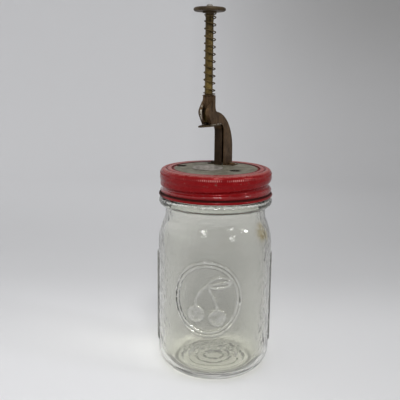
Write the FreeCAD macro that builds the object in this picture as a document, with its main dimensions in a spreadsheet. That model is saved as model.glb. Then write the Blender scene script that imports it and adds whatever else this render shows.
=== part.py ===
import FreeCAD, Part
import math
import os
import Sketcher
from types import SimpleNamespace

# Jar-top fruit pitter: a screw-top glass jar whose lid carries a sprung plunger on a bent arm.
# The fruit lies on the dished seat, the plunger passes the stripper plate, pushes the pit
# through the seat into the jar, and the spring lifts it again.
# Frame: millimetres, origin under the middle of the jar, +Z up, front of the jar towards -Y.

DRIVING_SIZES = {
    # glass jar
    "body_radius": 36.9,
    "wall": 3.0,
    "foot_inner": 23.4,
    "foot_outer": 26.8,
    "heel_radius": 15.5,
    "push_up": 3.2,
    "ring_first": 6.4,
    "ring_step": 5.0,
    "ring_height": 0.35,
    "ring_half": 0.9,
    "floor_level": 7.4,
    "shoulder_level": 84.0,
    "shoulder_radius": 37.5,
    "neck_radius": 32.3,
    "neck_blend": 11.8,
    "collar_level": 110.2,
    "collar_radius": 36.4,
    "collar_top": 115.4,
    "collar_flare": 1.5,
    "collar_swell": 3.6,
    "collar_side": 2.4,
    "collar_round": 2.2,
    "finish_radius": 33.2,
    "bore_radius": 29.6,
    "lip_level": 131.1,
    "lip_round": 1.1,
    "rib_radius": 37.5,
    "rib_width": 1.5,
    "rib_low": 18.5,
    "rib_length": 61.0,
    "rib_step": 5.5,
    "rib_sink": 0.8,
    # screw thread
    "lead": 5.08,
    "thread_turns": 1.25,
    "thread_start": 118.9,
    "jar_thread_crest": 34.45,
    "jar_thread_base": 1.5,
    "jar_thread_tip": 0.6,
    "jar_thread_sink": 0.6,
    "band_thread_crest": 33.95,
    "band_thread_base": 1.2,
    "band_thread_tip": 0.4,
    "band_thread_sink": 0.25,
    "band_turns": 1.0,
    "band_groove_depth": 1.0,
    "band_groove_base": 1.75,
    "band_groove_tip": 0.25,
    # screw band
    "band_bottom": 116.3,
    "band_top": 133.5,
    "band_sheet": 0.5,
    "band_inner": 34.9,
    "band_opening": 28.3,
    "band_shoulder": 2.4,
    "curl_radius": 0.85,
    "bead_level": 128.4,
    "bead_height": 0.4,
    "bead_reach": 2.2,
    # lid plate, gasket and seat
    "gasket_height": 1.2,
    "gasket_inner": 30.2,
    "gasket_inset": 0.3,
    "plate_radius": 33.6,
    "plate_sheet": 0.6,
    "plate_step": 0.4,
    "panel_radius": 27.1,
    "rim_inner": 28.0,
    "drain_offset": 19.3,
    "drain_radius": 3.0,
    "seat_radius": 9.0,
    "seat_lip": 0.9,
    "seat_sheet": 0.5,
    "seat_depth": 4.2,
    "seat_curve": 7.0,
    "pit_hole": 4.6,
    # plunger axis and the arm's own plane
    "axis_x": -5.3,
    "axis_y": -1.0,
    "arm_angle": 62.0,
    # arm
    "arm_width": 7.2,
    "arm_sheet": 0.6,
    "spine_radius": 26.2,
    "spine_level": 143.0,
    "neck_fillet": 4.0,
    "neck_level": 171.5,
    "head_top": 179.2,
    "cheek_bottom": 160.9,
    "cheek_front": 1.4,
    "nose_reach": 5.6,
    "nose_high": 171.6,
    "nose_low": 166.6,
    "nose_radius": 3.6,
    "brow_level": 178.0,
    "slit_width": 2.8,
    "seam_width": 1.2,
    "stem_front": 16.2,
    "stem_fillet": 6.0,
    "bend_radius": 1.2,
    "crimp_radius": 0.4,
    "tab_front": 18.0,
    "tab_back": 25.5,
    "tab_reach": 9.5,
    # foot rivets
    "rivet_along": 21.75,
    "rivet_across": 6.5,
    "rivet_shank": 1.5,
    "rivet_head": 2.3,
    "rivet_height": 1.0,
    "rivet_round": 0.75,
    "rivet_tail": 2.0,
    "rivet_tail_height": 0.7,
    "hole_play": 0.05,
    "fit_play": 0.02,
    "cut_over": 2.0,
    # stripper plate
    "stripper_sheet": 0.8,
    "stripper_half": 4.3,
    "stripper_back": 9.0,
    "stripper_taper": 1.2,
    "stripper_tip": 10.6,
    "stripper_tip_half": 1.5,
    "stripper_tip_radius": 1.6,
    "stripper_hole": 3.2,
    # plunger
    "rod_radius": 2.5,
    "rod_end_radius": 2.2,
    "running_play": 0.06,
    "tip_radius": 2.7,
    "tip_bottom": 162.6,
    "tip_top": 171.3,
    "tip_chamfer": 0.5,
    "flute_radius": 0.9,
    "flute_length": 6.0,
    "cup_radius": 1.7,
    "cup_depth": 1.4,
    "rod_top": 229.75,
    "rivet_bore": 1.25,
    "rivet_bore_depth": 5.0,
    "rivet_bore_play": 0.5,
    # spring, washer, collar and button
    "washer_radius": 4.2,
    "washer_inner": 2.95,
    "washer_height": 0.6,
    "coil_radius": 3.4,
    "wire_radius": 0.36,
    "coil_turns": 10.5,
    "end_turns": 0.75,
    "end_pitch": 1.45,
    "coil_play": 0.05,
    "collar_flange": 4.4,
    "collar_flange_height": 0.85,
    "collar_hub": 2.7,
    "collar_height": 3.2,
    "button_radius": 9.9,
    "button_height": 2.75,
    "button_round": 1.2,
    "button_crown": 0.3,
    "button_flat": 3.2,
    "button_rivet_head": 2.1,
    "button_rivet_height": 1.5,
    "button_rivet_round": 1.2,
    "button_rivet_shank": 1.2,
}

PARTS_FOLDER = "parts"
RIBS_A_SIDE = 5
BASE_RINGS = 4
CRIMP_ANGLES = (-64, -32, 0, 32, 64)
FLUTES = 4
LEAST_COIL_GAP = 0.4
NEAR = 0.01

doc = FreeCAD.newDocument("fruit_pitter")
sheet = doc.addObject("Spreadsheet::Sheet", "sizes")


def number(size):
    """The number of a size, or a plain number as it is."""
    return size.number if isinstance(size, Size) else size


def formula(size):
    """The sheet formula of a size, or a plain number as text."""
    return size.formula if isinstance(size, Size) else repr(size)


class Size:
    """A length or angle held both as its number and as the sheet formula behind it."""

    def __init__(self, value, text):
        self.number = value
        self.formula = text

    def __add__(self, other):
        return Size(self.number + number(other), f"({self.formula} + {formula(other)})")

    def __radd__(self, other):
        return Size(number(other) + self.number, f"({formula(other)} + {self.formula})")

    def __sub__(self, other):
        return Size(self.number - number(other), f"({self.formula} - {formula(other)})")

    def __rsub__(self, other):
        return Size(number(other) - self.number, f"({formula(other)} - {self.formula})")

    def __mul__(self, other):
        return Size(self.number * number(other), f"({self.formula} * {formula(other)})")

    __rmul__ = __mul__

    def __truediv__(self, other):
        return Size(self.number / number(other), f"({self.formula} / {formula(other)})")

    def __neg__(self):
        return Size(-self.number, f"(0 - {self.formula})")


def root(size):
    return Size(math.sqrt(size.number), f"sqrt({size.formula})")


def cosine(angle):
    return Size(math.cos(math.radians(angle.number)), f"cos({angle.formula} * 1 deg)")


def sine(angle):
    return Size(math.sin(math.radians(angle.number)), f"sin({angle.formula} * 1 deg)")


def fill_sheet():
    """One row for each driving size: its name, and its number with that name as alias."""
    sizes = {}
    for row, (name, value) in enumerate(DRIVING_SIZES.items(), start=1):
        sheet.set(f"A{row}", name)
        sheet.set(f"B{row}", str(value))
        sheet.setAlias(f"B{row}", name)
        sizes[name] = Size(value, f"sizes.{name}")
    doc.recompute()
    return SimpleNamespace(**sizes)


d = fill_sheet()

# Sizes that follow from the driving ones.
gasket_top = d.lip_level + d.gasket_height
rim_top = gasket_top + d.plate_sheet
plate_top = rim_top + d.plate_step
washer_top = d.head_top + d.washer_height
collar_bottom = d.rod_top - d.collar_height
flange_bottom = d.rod_top - d.collar_flange_height
button_top = d.rod_top + d.button_height
half_arm = d.arm_width / 2
half_gap = half_arm - d.arm_sheet
arm_cos = cosine(d.arm_angle)
arm_sin = sine(d.arm_angle)


def new_body(name, on_axis=False, in_arm_plane=False):
    """A body at the jar's axis, at the plunger's axis, or turned into the arm's plane there."""
    body = doc.addObject("PartDesign::Body", name)
    body.Label = name
    if on_axis or in_arm_plane:
        body.setExpression("Placement.Base.x", d.axis_x.formula)
        body.setExpression("Placement.Base.y", d.axis_y.formula)
    if in_arm_plane:
        body.setExpression("Placement.Rotation.Angle", d.arm_angle.formula)
    return body


def new_sketch(body, plane, level=None):
    """A sketch on one of the body's own origin planes, raised to a level above it if given."""
    sketch = body.newObject("Sketcher::SketchObject", f"{body.Name}_outline")
    origin_plane = next(f for f in body.Origin.OriginFeatures if f.Role == plane)
    sketch.AttachmentSupport = (origin_plane, "")
    sketch.MapMode = "FlatFace"
    if level is not None:
        sketch.setExpression("AttachmentOffset.Base.z", formula(level))
    return sketch


def constrain(sketch, kind, *where, size):
    """A dimension of the sketch that follows the size's formula."""
    index = sketch.addConstraint(Sketcher.Constraint(kind, *where, number(size)))
    if isinstance(size, Size):
        sketch.setExpression(f"Constraints[{index}]", size.formula)


def pin(sketch, edge, end, x, y):
    """Hold one point of an edge at x, y from the sketch's origin."""
    for kind, axis, size in (("DistanceX", -2, x), ("DistanceY", -1, y)):
        if isinstance(size, Size):
            constrain(sketch, kind, -1, 1, edge, end, size=size)
        else:
            sketch.addConstraint(Sketcher.Constraint("PointOnObject", edge, end, axis))


def arc_between(start, finish, radius):
    """Counter-clockwise arc of less than half a circle between two points."""
    chord = finish - start
    left = FreeCAD.Vector(-chord.y, chord.x, 0).normalize()
    centre = (start + finish) / 2 + left * math.sqrt(radius ** 2 - chord.Length ** 2 / 4)
    from_centre = [math.atan2(p.y - centre.y, p.x - centre.x) for p in (start, finish)]
    return Part.ArcOfCircle(Part.Circle(centre, FreeCAD.Vector(0, 0, 1), radius), *from_centre)


def outline(sketch, corners):
    """A closed outline. A corner is (x, y), or (x, y, radius) where an arc leaves it:
    a positive radius turns left, a negative one right."""
    points = [FreeCAD.Vector(number(c[0]), number(c[1]), 0) for c in corners]
    ends = []
    for i, corner in enumerate(corners):
        start, finish = points[i], points[(i + 1) % len(points)]
        bend = corner[2] if len(corner) > 2 else None
        if bend is None:
            edge = sketch.addGeometry(Part.LineSegment(start, finish))
            ends.append((edge, 1, 2, None))
        elif number(bend) > 0:
            edge = sketch.addGeometry(arc_between(start, finish, number(bend)))
            ends.append((edge, 1, 2, bend))
        else:
            edge = sketch.addGeometry(arc_between(finish, start, -number(bend)))
            ends.append((edge, 2, 1, -bend))
    for i, (edge, start, finish, bend) in enumerate(ends):
        follower = ends[(i + 1) % len(ends)]
        sketch.addConstraint(Sketcher.Constraint("Coincident", edge, finish, follower[0], follower[1]))
        pin(sketch, edge, start, corners[i][0], corners[i][1])
        if bend is not None:
            constrain(sketch, "Radius", edge, size=bend)


def circle(sketch, radius, x=0, y=0):
    centre = FreeCAD.Vector(number(x), number(y), 0)
    edge = sketch.addGeometry(Part.Circle(centre, FreeCAD.Vector(0, 0, 1), number(radius)))
    pin(sketch, edge, 3, x, y)
    constrain(sketch, "Radius", edge, size=radius)


def revolve(body, corners):
    """Turn an outline of (radius, level) corners round the body's own Z axis."""
    sketch = new_sketch(body, "XZ_Plane")
    outline(sketch, corners)
    feature = body.newObject("PartDesign::Revolution", f"{body.Name}_turned")
    feature.Profile = sketch
    feature.ReferenceAxis = (sketch, ["V_Axis"])
    feature.Angle = 360
    return feature


def extrude(body, sketch, length, kind="Pad", both_ways=False):
    """Pad a sketch, or pocket with it, by a length."""
    feature = body.newObject(f"PartDesign::{kind}", f"{body.Name}_{kind.lower()}")
    feature.Profile = sketch
    feature.SideType = "Symmetric" if both_ways else "One side"
    feature.setExpression("Length", formula(length))
    return feature


def wind_thread(body, plane, corners, turns, kind):
    """Wind an outline of (radius, level) corners up the jar's axis."""
    sketch = new_sketch(body, plane)
    outline(sketch, corners)
    feature = body.newObject(f"PartDesign::{kind}", f"{body.Name}_thread")
    feature.Profile = sketch
    feature.ReferenceAxis = (sketch, ["V_Axis"])
    feature.Mode = "pitch-turns-angle"
    feature.setExpression("Pitch", d.lead.formula)
    feature.setExpression("Turns", turns.formula)
    return feature


def round_edges(body, feature, wanted, radius):
    """Fillet the edges of a feature for which wanted(edge) holds."""
    doc.recompute()
    names = [f"Edge{i}" for i, edge in enumerate(feature.Shape.Edges, start=1) if wanted(edge)]
    fillet = body.newObject("PartDesign::Fillet", f"{body.Name}_rounded")
    fillet.Base = (feature, names)
    fillet.setExpression("Radius", radius.formula)
    return fillet


def make_jar():
    body = new_body("jar")
    reach = d.shoulder_radius + d.neck_blend
    centre = d.body_radius - d.shoulder_radius
    blend_cos = (d.neck_radius + d.neck_blend - centre) / reach
    blend_sin = root(1 - blend_cos * blend_cos)
    neck_level = d.shoulder_level + reach * blend_sin
    inner_shoulder = d.shoulder_radius - d.wall
    inner_body = d.body_radius - d.wall
    inner_neck = d.neck_radius - d.wall
    heel_centre = d.body_radius - d.heel_radius
    heel_level = root(d.heel_radius * d.heel_radius
                      - (d.foot_outer - heel_centre) * (d.foot_outer - heel_centre))
    inner_heel = d.heel_radius - d.wall
    floor_drop = heel_level - d.floor_level
    floor_radius = heel_centre + root(inner_heel * inner_heel - floor_drop * floor_drop)
    lip_side = d.lip_level - d.lip_round
    revolve(body, [
        (0, d.push_up),
        *base_rings(),
        (d.foot_inner, 0),
        (d.foot_outer, 0, d.heel_radius),
        (d.body_radius, heel_level),
        (d.body_radius, d.shoulder_level, d.shoulder_radius),
        (centre + d.shoulder_radius * blend_cos, d.shoulder_level + d.shoulder_radius * blend_sin,
         -d.neck_blend),
        (d.neck_radius, neck_level),
        (d.neck_radius, d.collar_level - d.collar_flare),
        (d.neck_radius + d.collar_flare, d.collar_level, d.collar_swell),
        (d.collar_radius, d.collar_level + d.collar_side),
        (d.collar_radius, d.collar_top - d.collar_round, d.collar_round),
        (d.collar_radius - d.collar_round, d.collar_top),
        (d.finish_radius, d.collar_top),
        (d.finish_radius, lip_side, d.lip_round),
        (d.finish_radius - d.lip_round, d.lip_level),
        (d.bore_radius + d.lip_round, d.lip_level, d.lip_round),
        (d.bore_radius, lip_side),
        (d.bore_radius, d.collar_level),
        (inner_neck, neck_level, d.neck_blend + d.wall),
        (centre + inner_shoulder * blend_cos, d.shoulder_level + inner_shoulder * blend_sin,
         -inner_shoulder),
        (inner_body, d.shoulder_level),
        (inner_body, heel_level, -inner_heel),
        (floor_radius, d.floor_level),
        (0, d.floor_level),
    ])
    add_ribs(body)
    wind_thread(body, "XZ_Plane", [
        (d.jar_thread_sink - d.finish_radius, d.thread_start - d.jar_thread_base),
        (d.jar_thread_sink - d.finish_radius, d.thread_start + d.jar_thread_base),
        (-d.finish_radius, d.thread_start + d.jar_thread_base),
        (-d.jar_thread_crest, d.thread_start + d.jar_thread_tip),
        (-d.jar_thread_crest, d.thread_start - d.jar_thread_tip),
        (-d.finish_radius, d.thread_start - d.jar_thread_base),
    ], d.thread_turns, "AdditiveHelix")
    return body


def base_rings():
    """Corners of the round ridges under the jar's base, which is pushed up in the middle."""
    corners = []
    for ring in range(BASE_RINGS):
        middle = d.ring_first + ring * d.ring_step
        level = d.push_up * (1 - middle * middle / (d.foot_inner * d.foot_inner))
        corners += [
            (middle - d.ring_half, level),
            (middle, level - d.ring_height),
            (middle + d.ring_half, level),
        ]
    return corners


def add_ribs(body):
    """Upright grip ribs on the left and right sides of the jar."""
    sketch = new_sketch(body, "XY_Plane", d.rib_low)
    root_radius = d.body_radius - d.rib_sink
    for side in (-1, 1):
        for rib in range(RIBS_A_SIDE):
            middle = (rib - (RIBS_A_SIDE - 1) / 2) * d.rib_step
            rise = cosine(middle)
            across = sine(middle)
            low = across * d.rib_radius - d.rib_width / 2
            high = across * d.rib_radius + d.rib_width / 2
            inner = rise * root_radius
            outer = rise * d.rib_radius
            corners = [(inner, low), (outer, low, d.rib_width), (outer, high), (inner, high)]
            if side < 0:
                corners = [(-inner, high), (-outer, high, d.rib_width), (-outer, low), (-inner, low)]
            outline(sketch, corners)
    extrude(body, sketch, d.rib_length)


def make_gasket():
    body = new_body("jar_gasket")
    outer = d.plate_radius - d.gasket_inset
    revolve(body, [
        (d.gasket_inner, d.lip_level),
        (outer, d.lip_level),
        (outer, gasket_top),
        (d.gasket_inner, gasket_top),
    ])
    return body


def make_lid_plate():
    body = new_body("lid_plate")
    revolve(body, [
        (0, plate_top - d.plate_sheet),
        (d.panel_radius, plate_top - d.plate_sheet),
        (d.rim_inner, gasket_top),
        (d.plate_radius, gasket_top),
        (d.plate_radius, rim_top),
        (d.rim_inner, rim_top),
        (d.panel_radius, plate_top),
        (0, plate_top),
    ])
    holes = new_sketch(body, "XY_Plane", plate_top + d.cut_over)
    circle(holes, d.seat_radius - d.seat_sheet, d.axis_x, d.axis_y)
    for side in (-1, 1):
        drain = side * d.drain_offset
        circle(holes, d.drain_radius, d.axis_x - arm_sin * drain, d.axis_y + arm_cos * drain)
        across = side * d.rivet_across
        circle(holes, d.rivet_shank + d.hole_play,
               d.axis_x + arm_cos * d.rivet_along - arm_sin * across,
               d.axis_y + arm_sin * d.rivet_along + arm_cos * across)
    extrude(body, holes, d.plate_sheet + 2 * d.cut_over, "Pocket")
    return body


def make_fruit_seat():
    body = new_body("fruit_seat", on_axis=True)
    lip = d.seat_radius + d.seat_lip
    throat = d.seat_radius - d.seat_sheet - d.hole_play
    low = plate_top - d.seat_depth
    lip_top = plate_top + d.seat_sheet
    revolve(body, [
        (d.pit_hole, low, d.seat_curve),
        (throat, plate_top),
        (lip, plate_top),
        (lip, lip_top),
        (throat - d.seat_sheet, lip_top, d.seat_sheet - d.seat_curve),
        (d.pit_hole, low + d.seat_sheet),
    ])
    return body


def make_screw_band():
    body = new_body("screw_band")
    outer = d.band_inner + d.band_sheet
    curl_level = d.band_bottom + d.curl_radius
    curl_top = curl_level + d.curl_radius
    shoulder_level = d.band_top - d.band_shoulder
    bead_low = d.bead_level - d.bead_reach
    bead_high = d.bead_level + d.bead_reach
    bead_curve = (d.bead_reach * d.bead_reach + d.bead_height * d.bead_height) / (2 * d.bead_height)
    under = d.band_top - d.band_sheet
    inner_shoulder = d.band_shoulder - d.band_sheet
    revolve(body, [
        (d.band_inner + d.curl_radius, d.band_bottom, d.curl_radius),
        (d.band_inner + 2 * d.curl_radius, curl_level, d.curl_radius),
        (d.band_inner + d.curl_radius, curl_top),
        (outer, curl_top),
        (outer, bead_low, bead_curve),
        (outer, bead_high),
        (outer, shoulder_level, d.band_shoulder),
        (outer - d.band_shoulder, d.band_top),
        (d.band_opening, d.band_top),
        (d.band_opening, under),
        (d.band_inner - inner_shoulder, under, -inner_shoulder),
        (d.band_inner, shoulder_level),
        (d.band_inner, curl_level, d.curl_radius),
    ])
    roll_thread(body, outer)
    return body


def roll_thread(body, outer):
    """The band's thread, which starts at the back: a ridge inside and a groove outside."""
    start = d.thread_start + d.lead / 4
    sunk = d.band_inner + d.band_thread_sink
    wind_thread(body, "YZ_Plane", [
        (sunk, start - d.band_thread_base),
        (sunk, start + d.band_thread_base),
        (d.band_inner, start + d.band_thread_base),
        (d.band_thread_crest, start + d.band_thread_tip),
        (d.band_thread_crest, start - d.band_thread_tip),
        (d.band_inner, start - d.band_thread_base),
    ], d.band_turns, "AdditiveHelix")
    wind_thread(body, "YZ_Plane", [
        (outer + d.band_groove_depth, start - d.band_groove_base),
        (outer + d.band_groove_depth, start + d.band_groove_base),
        (outer - d.band_groove_depth, start + d.band_groove_tip),
        (outer - d.band_groove_depth, start - d.band_groove_tip),
    ], d.band_turns, "SubtractiveHelix")


def spine_points(inset):
    """The arm's back edge, moved in by inset: end of the foot's straight, top of the big arc,
    and the foot of the neck."""
    fillet_level = d.spine_level + root((d.spine_radius + d.neck_fillet) * (d.spine_radius + d.neck_fillet)
                                        - d.neck_fillet * d.neck_fillet)
    lean = d.neck_fillet / (d.spine_radius + d.neck_fillet)
    rise = (fillet_level - d.spine_level) / (d.spine_radius + d.neck_fillet)
    radius = d.spine_radius - inset
    top = (half_arm + lean * radius, d.spine_level + rise * radius)
    return radius, top, fillet_level


def make_arm():
    body = new_body("arm", in_arm_plane=True)
    radius, arc_top, fillet_level = spine_points(0)
    back = half_arm + d.spine_radius
    sketch = new_sketch(body, "XZ_Plane")
    outline(sketch, [
        (d.stem_front, plate_top),
        (back, plate_top),
        (back, d.spine_level, radius),
        (*arc_top, -d.neck_fillet),
        (half_arm, fillet_level),
        (half_arm, d.head_top),
        (0, d.head_top),
        (0, d.brow_level),
        (-d.nose_reach, d.nose_high, d.nose_radius),
        (-d.nose_reach, d.nose_low),
        (-d.cheek_front, d.cheek_bottom),
        (d.stem_front - d.stem_fillet, d.cheek_bottom, -d.stem_fillet),
        (d.stem_front, d.cheek_bottom - d.stem_fillet),
    ])
    blank = extrude(body, sketch, d.arm_width, both_ways=True)

    def on_spine(edge):
        """Edges along the back of the arm, on both of its sides."""
        middle = edge.valueAt((edge.FirstParameter + edge.LastParameter) / 2)
        on_side = abs(abs(middle.y) - half_arm.number) < NEAR
        behind = middle.x > half_arm.number - NEAR
        outer = math.hypot(middle.x - half_arm.number, middle.z - d.spine_level.number)
        far = outer > d.spine_radius.number - NEAR or abs(middle.x - back.number) < NEAR
        return on_side and behind and far and edge.BoundBox.ZLength > NEAR

    round_edges(body, blank, on_spine, d.bend_radius)
    hollow_arm(body)
    add_neck(body)
    add_foot_tabs(body)
    return body


def hollow_arm(body):
    """Open the inside of the folded arm, up to the neck, and the slit between its front edges."""
    radius, arc_top, fillet_level = spine_points(d.arm_sheet)
    back = half_arm + d.spine_radius - d.arm_sheet
    fillet = d.neck_fillet + d.arm_sheet
    fillet_centre = half_arm + d.neck_fillet
    drop = fillet_level - d.neck_level
    neck_back = fillet_centre - root(fillet * fillet - drop * drop)
    below = plate_top - d.cut_over
    stem_inner = d.stem_front + d.arm_sheet
    web_inner = d.stem_fillet + d.arm_sheet
    web_start = d.stem_front - d.stem_fillet
    under_cheek = d.cheek_bottom - d.cut_over
    channel = new_sketch(body, "XZ_Plane")
    outline(channel, [
        (stem_inner, below),
        (back, below),
        (back, d.spine_level, radius),
        (*arc_top, -fillet),
        (neck_back, d.neck_level),
        (d.arm_sheet, d.neck_level),
        (d.arm_sheet, d.brow_level),
        (d.arm_sheet - d.nose_reach, d.nose_high, d.nose_radius),
        (d.arm_sheet - d.nose_reach, d.nose_low),
        (d.arm_sheet - d.cheek_front, d.cheek_bottom),
        (d.arm_sheet - d.cheek_front, under_cheek),
        (web_start, under_cheek),
        (web_start, d.cheek_bottom + d.arm_sheet, -web_inner),
        (stem_inner, d.cheek_bottom - d.stem_fillet),
    ])
    extrude(body, channel, half_gap * 2, "Pocket", both_ways=True)
    clear_front = -d.nose_reach - d.nose_radius - d.cut_over
    slit = new_sketch(body, "XZ_Plane")
    outline(slit, [
        (clear_front, below),
        (0, below),
        (0, d.head_top + d.cut_over),
        (clear_front, d.head_top + d.cut_over),
    ])
    extrude(body, slit, d.slit_width, "Pocket", both_ways=True)
    seam = new_sketch(body, "YZ_Plane", d.stem_front + d.bend_radius)
    outline(seam, [
        (-half_gap, below),
        (d.seam_width - half_gap, below),
        (d.seam_width - half_gap, d.cheek_bottom + d.cut_over),
        (-half_gap, d.cheek_bottom + d.cut_over),
    ])
    extrude(body, seam, d.stem_front, "Pocket")
    plunger_way = new_sketch(body, "XY_Plane", d.neck_level)
    circle(plunger_way, half_gap - d.fit_play)
    extrude(body, plunger_way, d.neck_level - under_cheek, "Pocket")


def add_neck(body):
    """The neck wrapped round the guide sleeve, with upright crimps in front."""
    height = d.head_top - d.neck_level
    cut = height + 2 * d.cut_over
    ring = new_sketch(body, "XY_Plane", d.neck_level)
    circle(ring, half_arm)
    extrude(body, ring, height)
    bore = new_sketch(body, "XY_Plane", d.head_top + d.cut_over)
    circle(bore, half_gap)
    extrude(body, bore, cut, "Pocket")
    crimps = new_sketch(body, "XY_Plane", d.head_top + d.cut_over)
    for angle in CRIMP_ANGLES:
        turn = math.radians(180 + angle)
        reach = half_arm + d.crimp_radius / 3
        circle(crimps, d.crimp_radius, reach * math.cos(turn), reach * math.sin(turn))
    extrude(body, crimps, cut, "Pocket")


def add_foot_tabs(body):
    """Tabs bent outwards from the foot of each side, with a hole for the rivet."""
    tabs = new_sketch(body, "XY_Plane", plate_top)
    outline(tabs, [
        (d.tab_front, half_gap),
        (d.tab_back, half_gap),
        (d.tab_back, d.tab_reach),
        (d.tab_front, d.tab_reach),
    ])
    outline(tabs, [
        (d.tab_front, -d.tab_reach),
        (d.tab_back, -d.tab_reach),
        (d.tab_back, -half_gap),
        (d.tab_front, -half_gap),
    ])
    extrude(body, tabs, d.arm_sheet)
    holes = new_sketch(body, "XY_Plane", plate_top + d.arm_sheet + d.cut_over)
    for side in (-1, 1):
        circle(holes, d.rivet_shank + d.hole_play, d.rivet_along, side * d.rivet_across)
    extrude(body, holes, d.arm_sheet + 2 * d.cut_over, "Pocket")


def make_foot_rivets():
    body = new_body("foot_rivets", in_arm_plane=True)
    body.AllowCompound = True
    tail_bottom = plate_top - d.plate_sheet - d.rivet_tail_height
    head_bottom = plate_top + d.arm_sheet
    shank_length = head_bottom - tail_bottom + d.rivet_height / 2
    for radius, low, height in ((d.rivet_shank, tail_bottom, shank_length),
                                (d.rivet_tail, tail_bottom, d.rivet_tail_height),
                                (d.rivet_head, head_bottom, d.rivet_height)):
        sketch = new_sketch(body, "XY_Plane", low)
        for side in (-1, 1):
            circle(sketch, radius, d.rivet_along, side * d.rivet_across)
        feature = extrude(body, sketch, height)
    crown = (head_bottom + d.rivet_height).number
    round_edges(body, feature, lambda edge: edge.BoundBox.ZMin > crown - NEAR, d.rivet_round)
    return body


def make_guide_sleeve():
    body = new_body("guide_sleeve", on_axis=True)
    inner = d.rod_radius + d.running_play
    outer = half_gap - d.fit_play
    revolve(body, [
        (inner, d.neck_level),
        (outer, d.neck_level),
        (outer, d.head_top),
        (inner, d.head_top),
    ])
    return body


def make_stripper_plate():
    body = new_body("stripper_plate", in_arm_plane=True)
    sketch = new_sketch(body, "XY_Plane", d.cheek_bottom - d.stripper_sheet)
    outline(sketch, [
        (d.stripper_back, -d.stripper_half),
        (d.stripper_back, d.stripper_half),
        (-d.stripper_taper, d.stripper_half),
        (-d.stripper_tip, d.stripper_tip_half, d.stripper_tip_radius),
        (-d.stripper_tip, -d.stripper_tip_half),
        (-d.stripper_taper, -d.stripper_half),
    ])
    circle(sketch, d.stripper_hole)
    extrude(body, sketch, d.stripper_sheet)
    return body


def make_plunger_rod():
    """The rod with its fluted pitting tip. The tip's shoulder stops the rod under the sleeve."""
    body = new_body("plunger_rod", on_axis=True)
    revolve(body, [
        (0, d.tip_bottom + d.cup_depth),
        (d.cup_radius, d.tip_bottom),
        (d.tip_radius - d.tip_chamfer, d.tip_bottom),
        (d.tip_radius, d.tip_bottom + d.tip_chamfer),
        (d.tip_radius, d.tip_top),
        (d.rod_radius, d.tip_top),
        (d.rod_radius, collar_bottom),
        (d.rod_end_radius, collar_bottom),
        (d.rod_end_radius, d.rod_top),
        (d.rivet_bore, d.rod_top),
        (d.rivet_bore, d.rod_top - d.rivet_bore_depth),
        (0, d.rod_top - d.rivet_bore_depth),
    ])
    flutes = new_sketch(body, "XY_Plane", d.tip_bottom + d.flute_length)
    circle(flutes, d.flute_radius, d.tip_radius + d.flute_radius / 3, 0)
    flute = extrude(body, flutes, d.flute_length + d.cut_over, "Pocket")
    pattern = body.newObject("PartDesign::PolarPattern", "flute_ring")
    pattern.Originals = [flute]
    z_axis = next(f for f in body.Origin.OriginFeatures if f.Role == "Z_Axis")
    pattern.Axis = (z_axis, [""])
    pattern.Angle = 360
    pattern.Occurrences = FLUTES
    body.Tip = pattern
    return body


def make_spring_washer():
    body = new_body("spring_washer", on_axis=True)
    revolve(body, [
        (d.washer_inner, d.head_top),
        (d.washer_radius, d.head_top),
        (d.washer_radius, washer_top),
        (d.washer_inner, washer_top),
    ])
    return body


def make_button_collar():
    body = new_body("button_collar", on_axis=True)
    inner = d.rod_end_radius + d.fit_play
    revolve(body, [
        (inner, collar_bottom),
        (d.collar_hub, collar_bottom),
        (d.collar_hub, flange_bottom),
        (d.collar_flange, flange_bottom),
        (d.collar_flange, d.rod_top),
        (inner, d.rod_top),
    ])
    return body


def make_thumb_button():
    """A round plate with a full edge, a little crowned on top."""
    body = new_body("thumb_button", on_axis=True)
    edge = d.button_radius - d.button_round
    middle = d.rod_top + d.button_height / 2
    revolve(body, [
        (d.rivet_bore, d.rod_top),
        (edge, d.rod_top, d.button_height / 2),
        (d.button_radius, middle, d.button_height / 2),
        (edge, button_top - d.button_crown),
        (d.button_flat, button_top),
        (d.rivet_bore, button_top),
    ])
    return body


def make_button_rivet():
    body = new_body("button_rivet", on_axis=True)
    low = d.rod_top - d.rivet_bore_depth + d.rivet_bore_play
    top = button_top + d.button_rivet_height
    revolve(body, [
        (0, low),
        (d.button_rivet_shank, low),
        (d.button_rivet_shank, button_top),
        (d.button_rivet_head, button_top),
        (d.button_rivet_head, top - d.button_rivet_round, d.button_rivet_round),
        (d.button_rivet_head - d.button_rivet_round, top),
        (0, top),
    ])
    return body


def coil_level(turn, low, high):
    """Level of the wire's middle after a number of turns: close end turns, open turns between."""
    turns = d.coil_turns.number
    ends = d.end_turns.number
    end_rise = ends * d.end_pitch.number
    pitch = (high - low - 2 * end_rise) / turns
    if turn <= ends:
        return low + turn * d.end_pitch.number
    if turn <= ends + turns:
        return low + end_rise + (turn - ends) * pitch
    return high - (2 * ends + turns - turn) * d.end_pitch.number


def biarc(start, heading, finish, arrival):
    """Two arcs that meet smoothly, from one point and heading to another."""
    step = finish - start
    both = heading + arrival
    bend = 2 * (1 - heading.dot(arrival))
    along = step.dot(both)
    reach = (math.sqrt(along * along + bend * step.dot(step)) - along) / bend
    meet = (start + heading * reach + finish - arrival * reach) / 2
    return (bow(start, start + heading * reach, meet), bow(meet, finish - arrival * reach, finish))


def bow(start, corner, finish):
    """Arc from start to finish whose end tangents meet at corner."""
    half = (finish - start) / 2
    middle = start + half
    rise = corner - middle
    angle = math.atan2(rise.Length, half.Length)
    return Part.Arc(start, middle + rise * (math.tan(angle / 2) / math.tan(angle)), finish)


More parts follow.
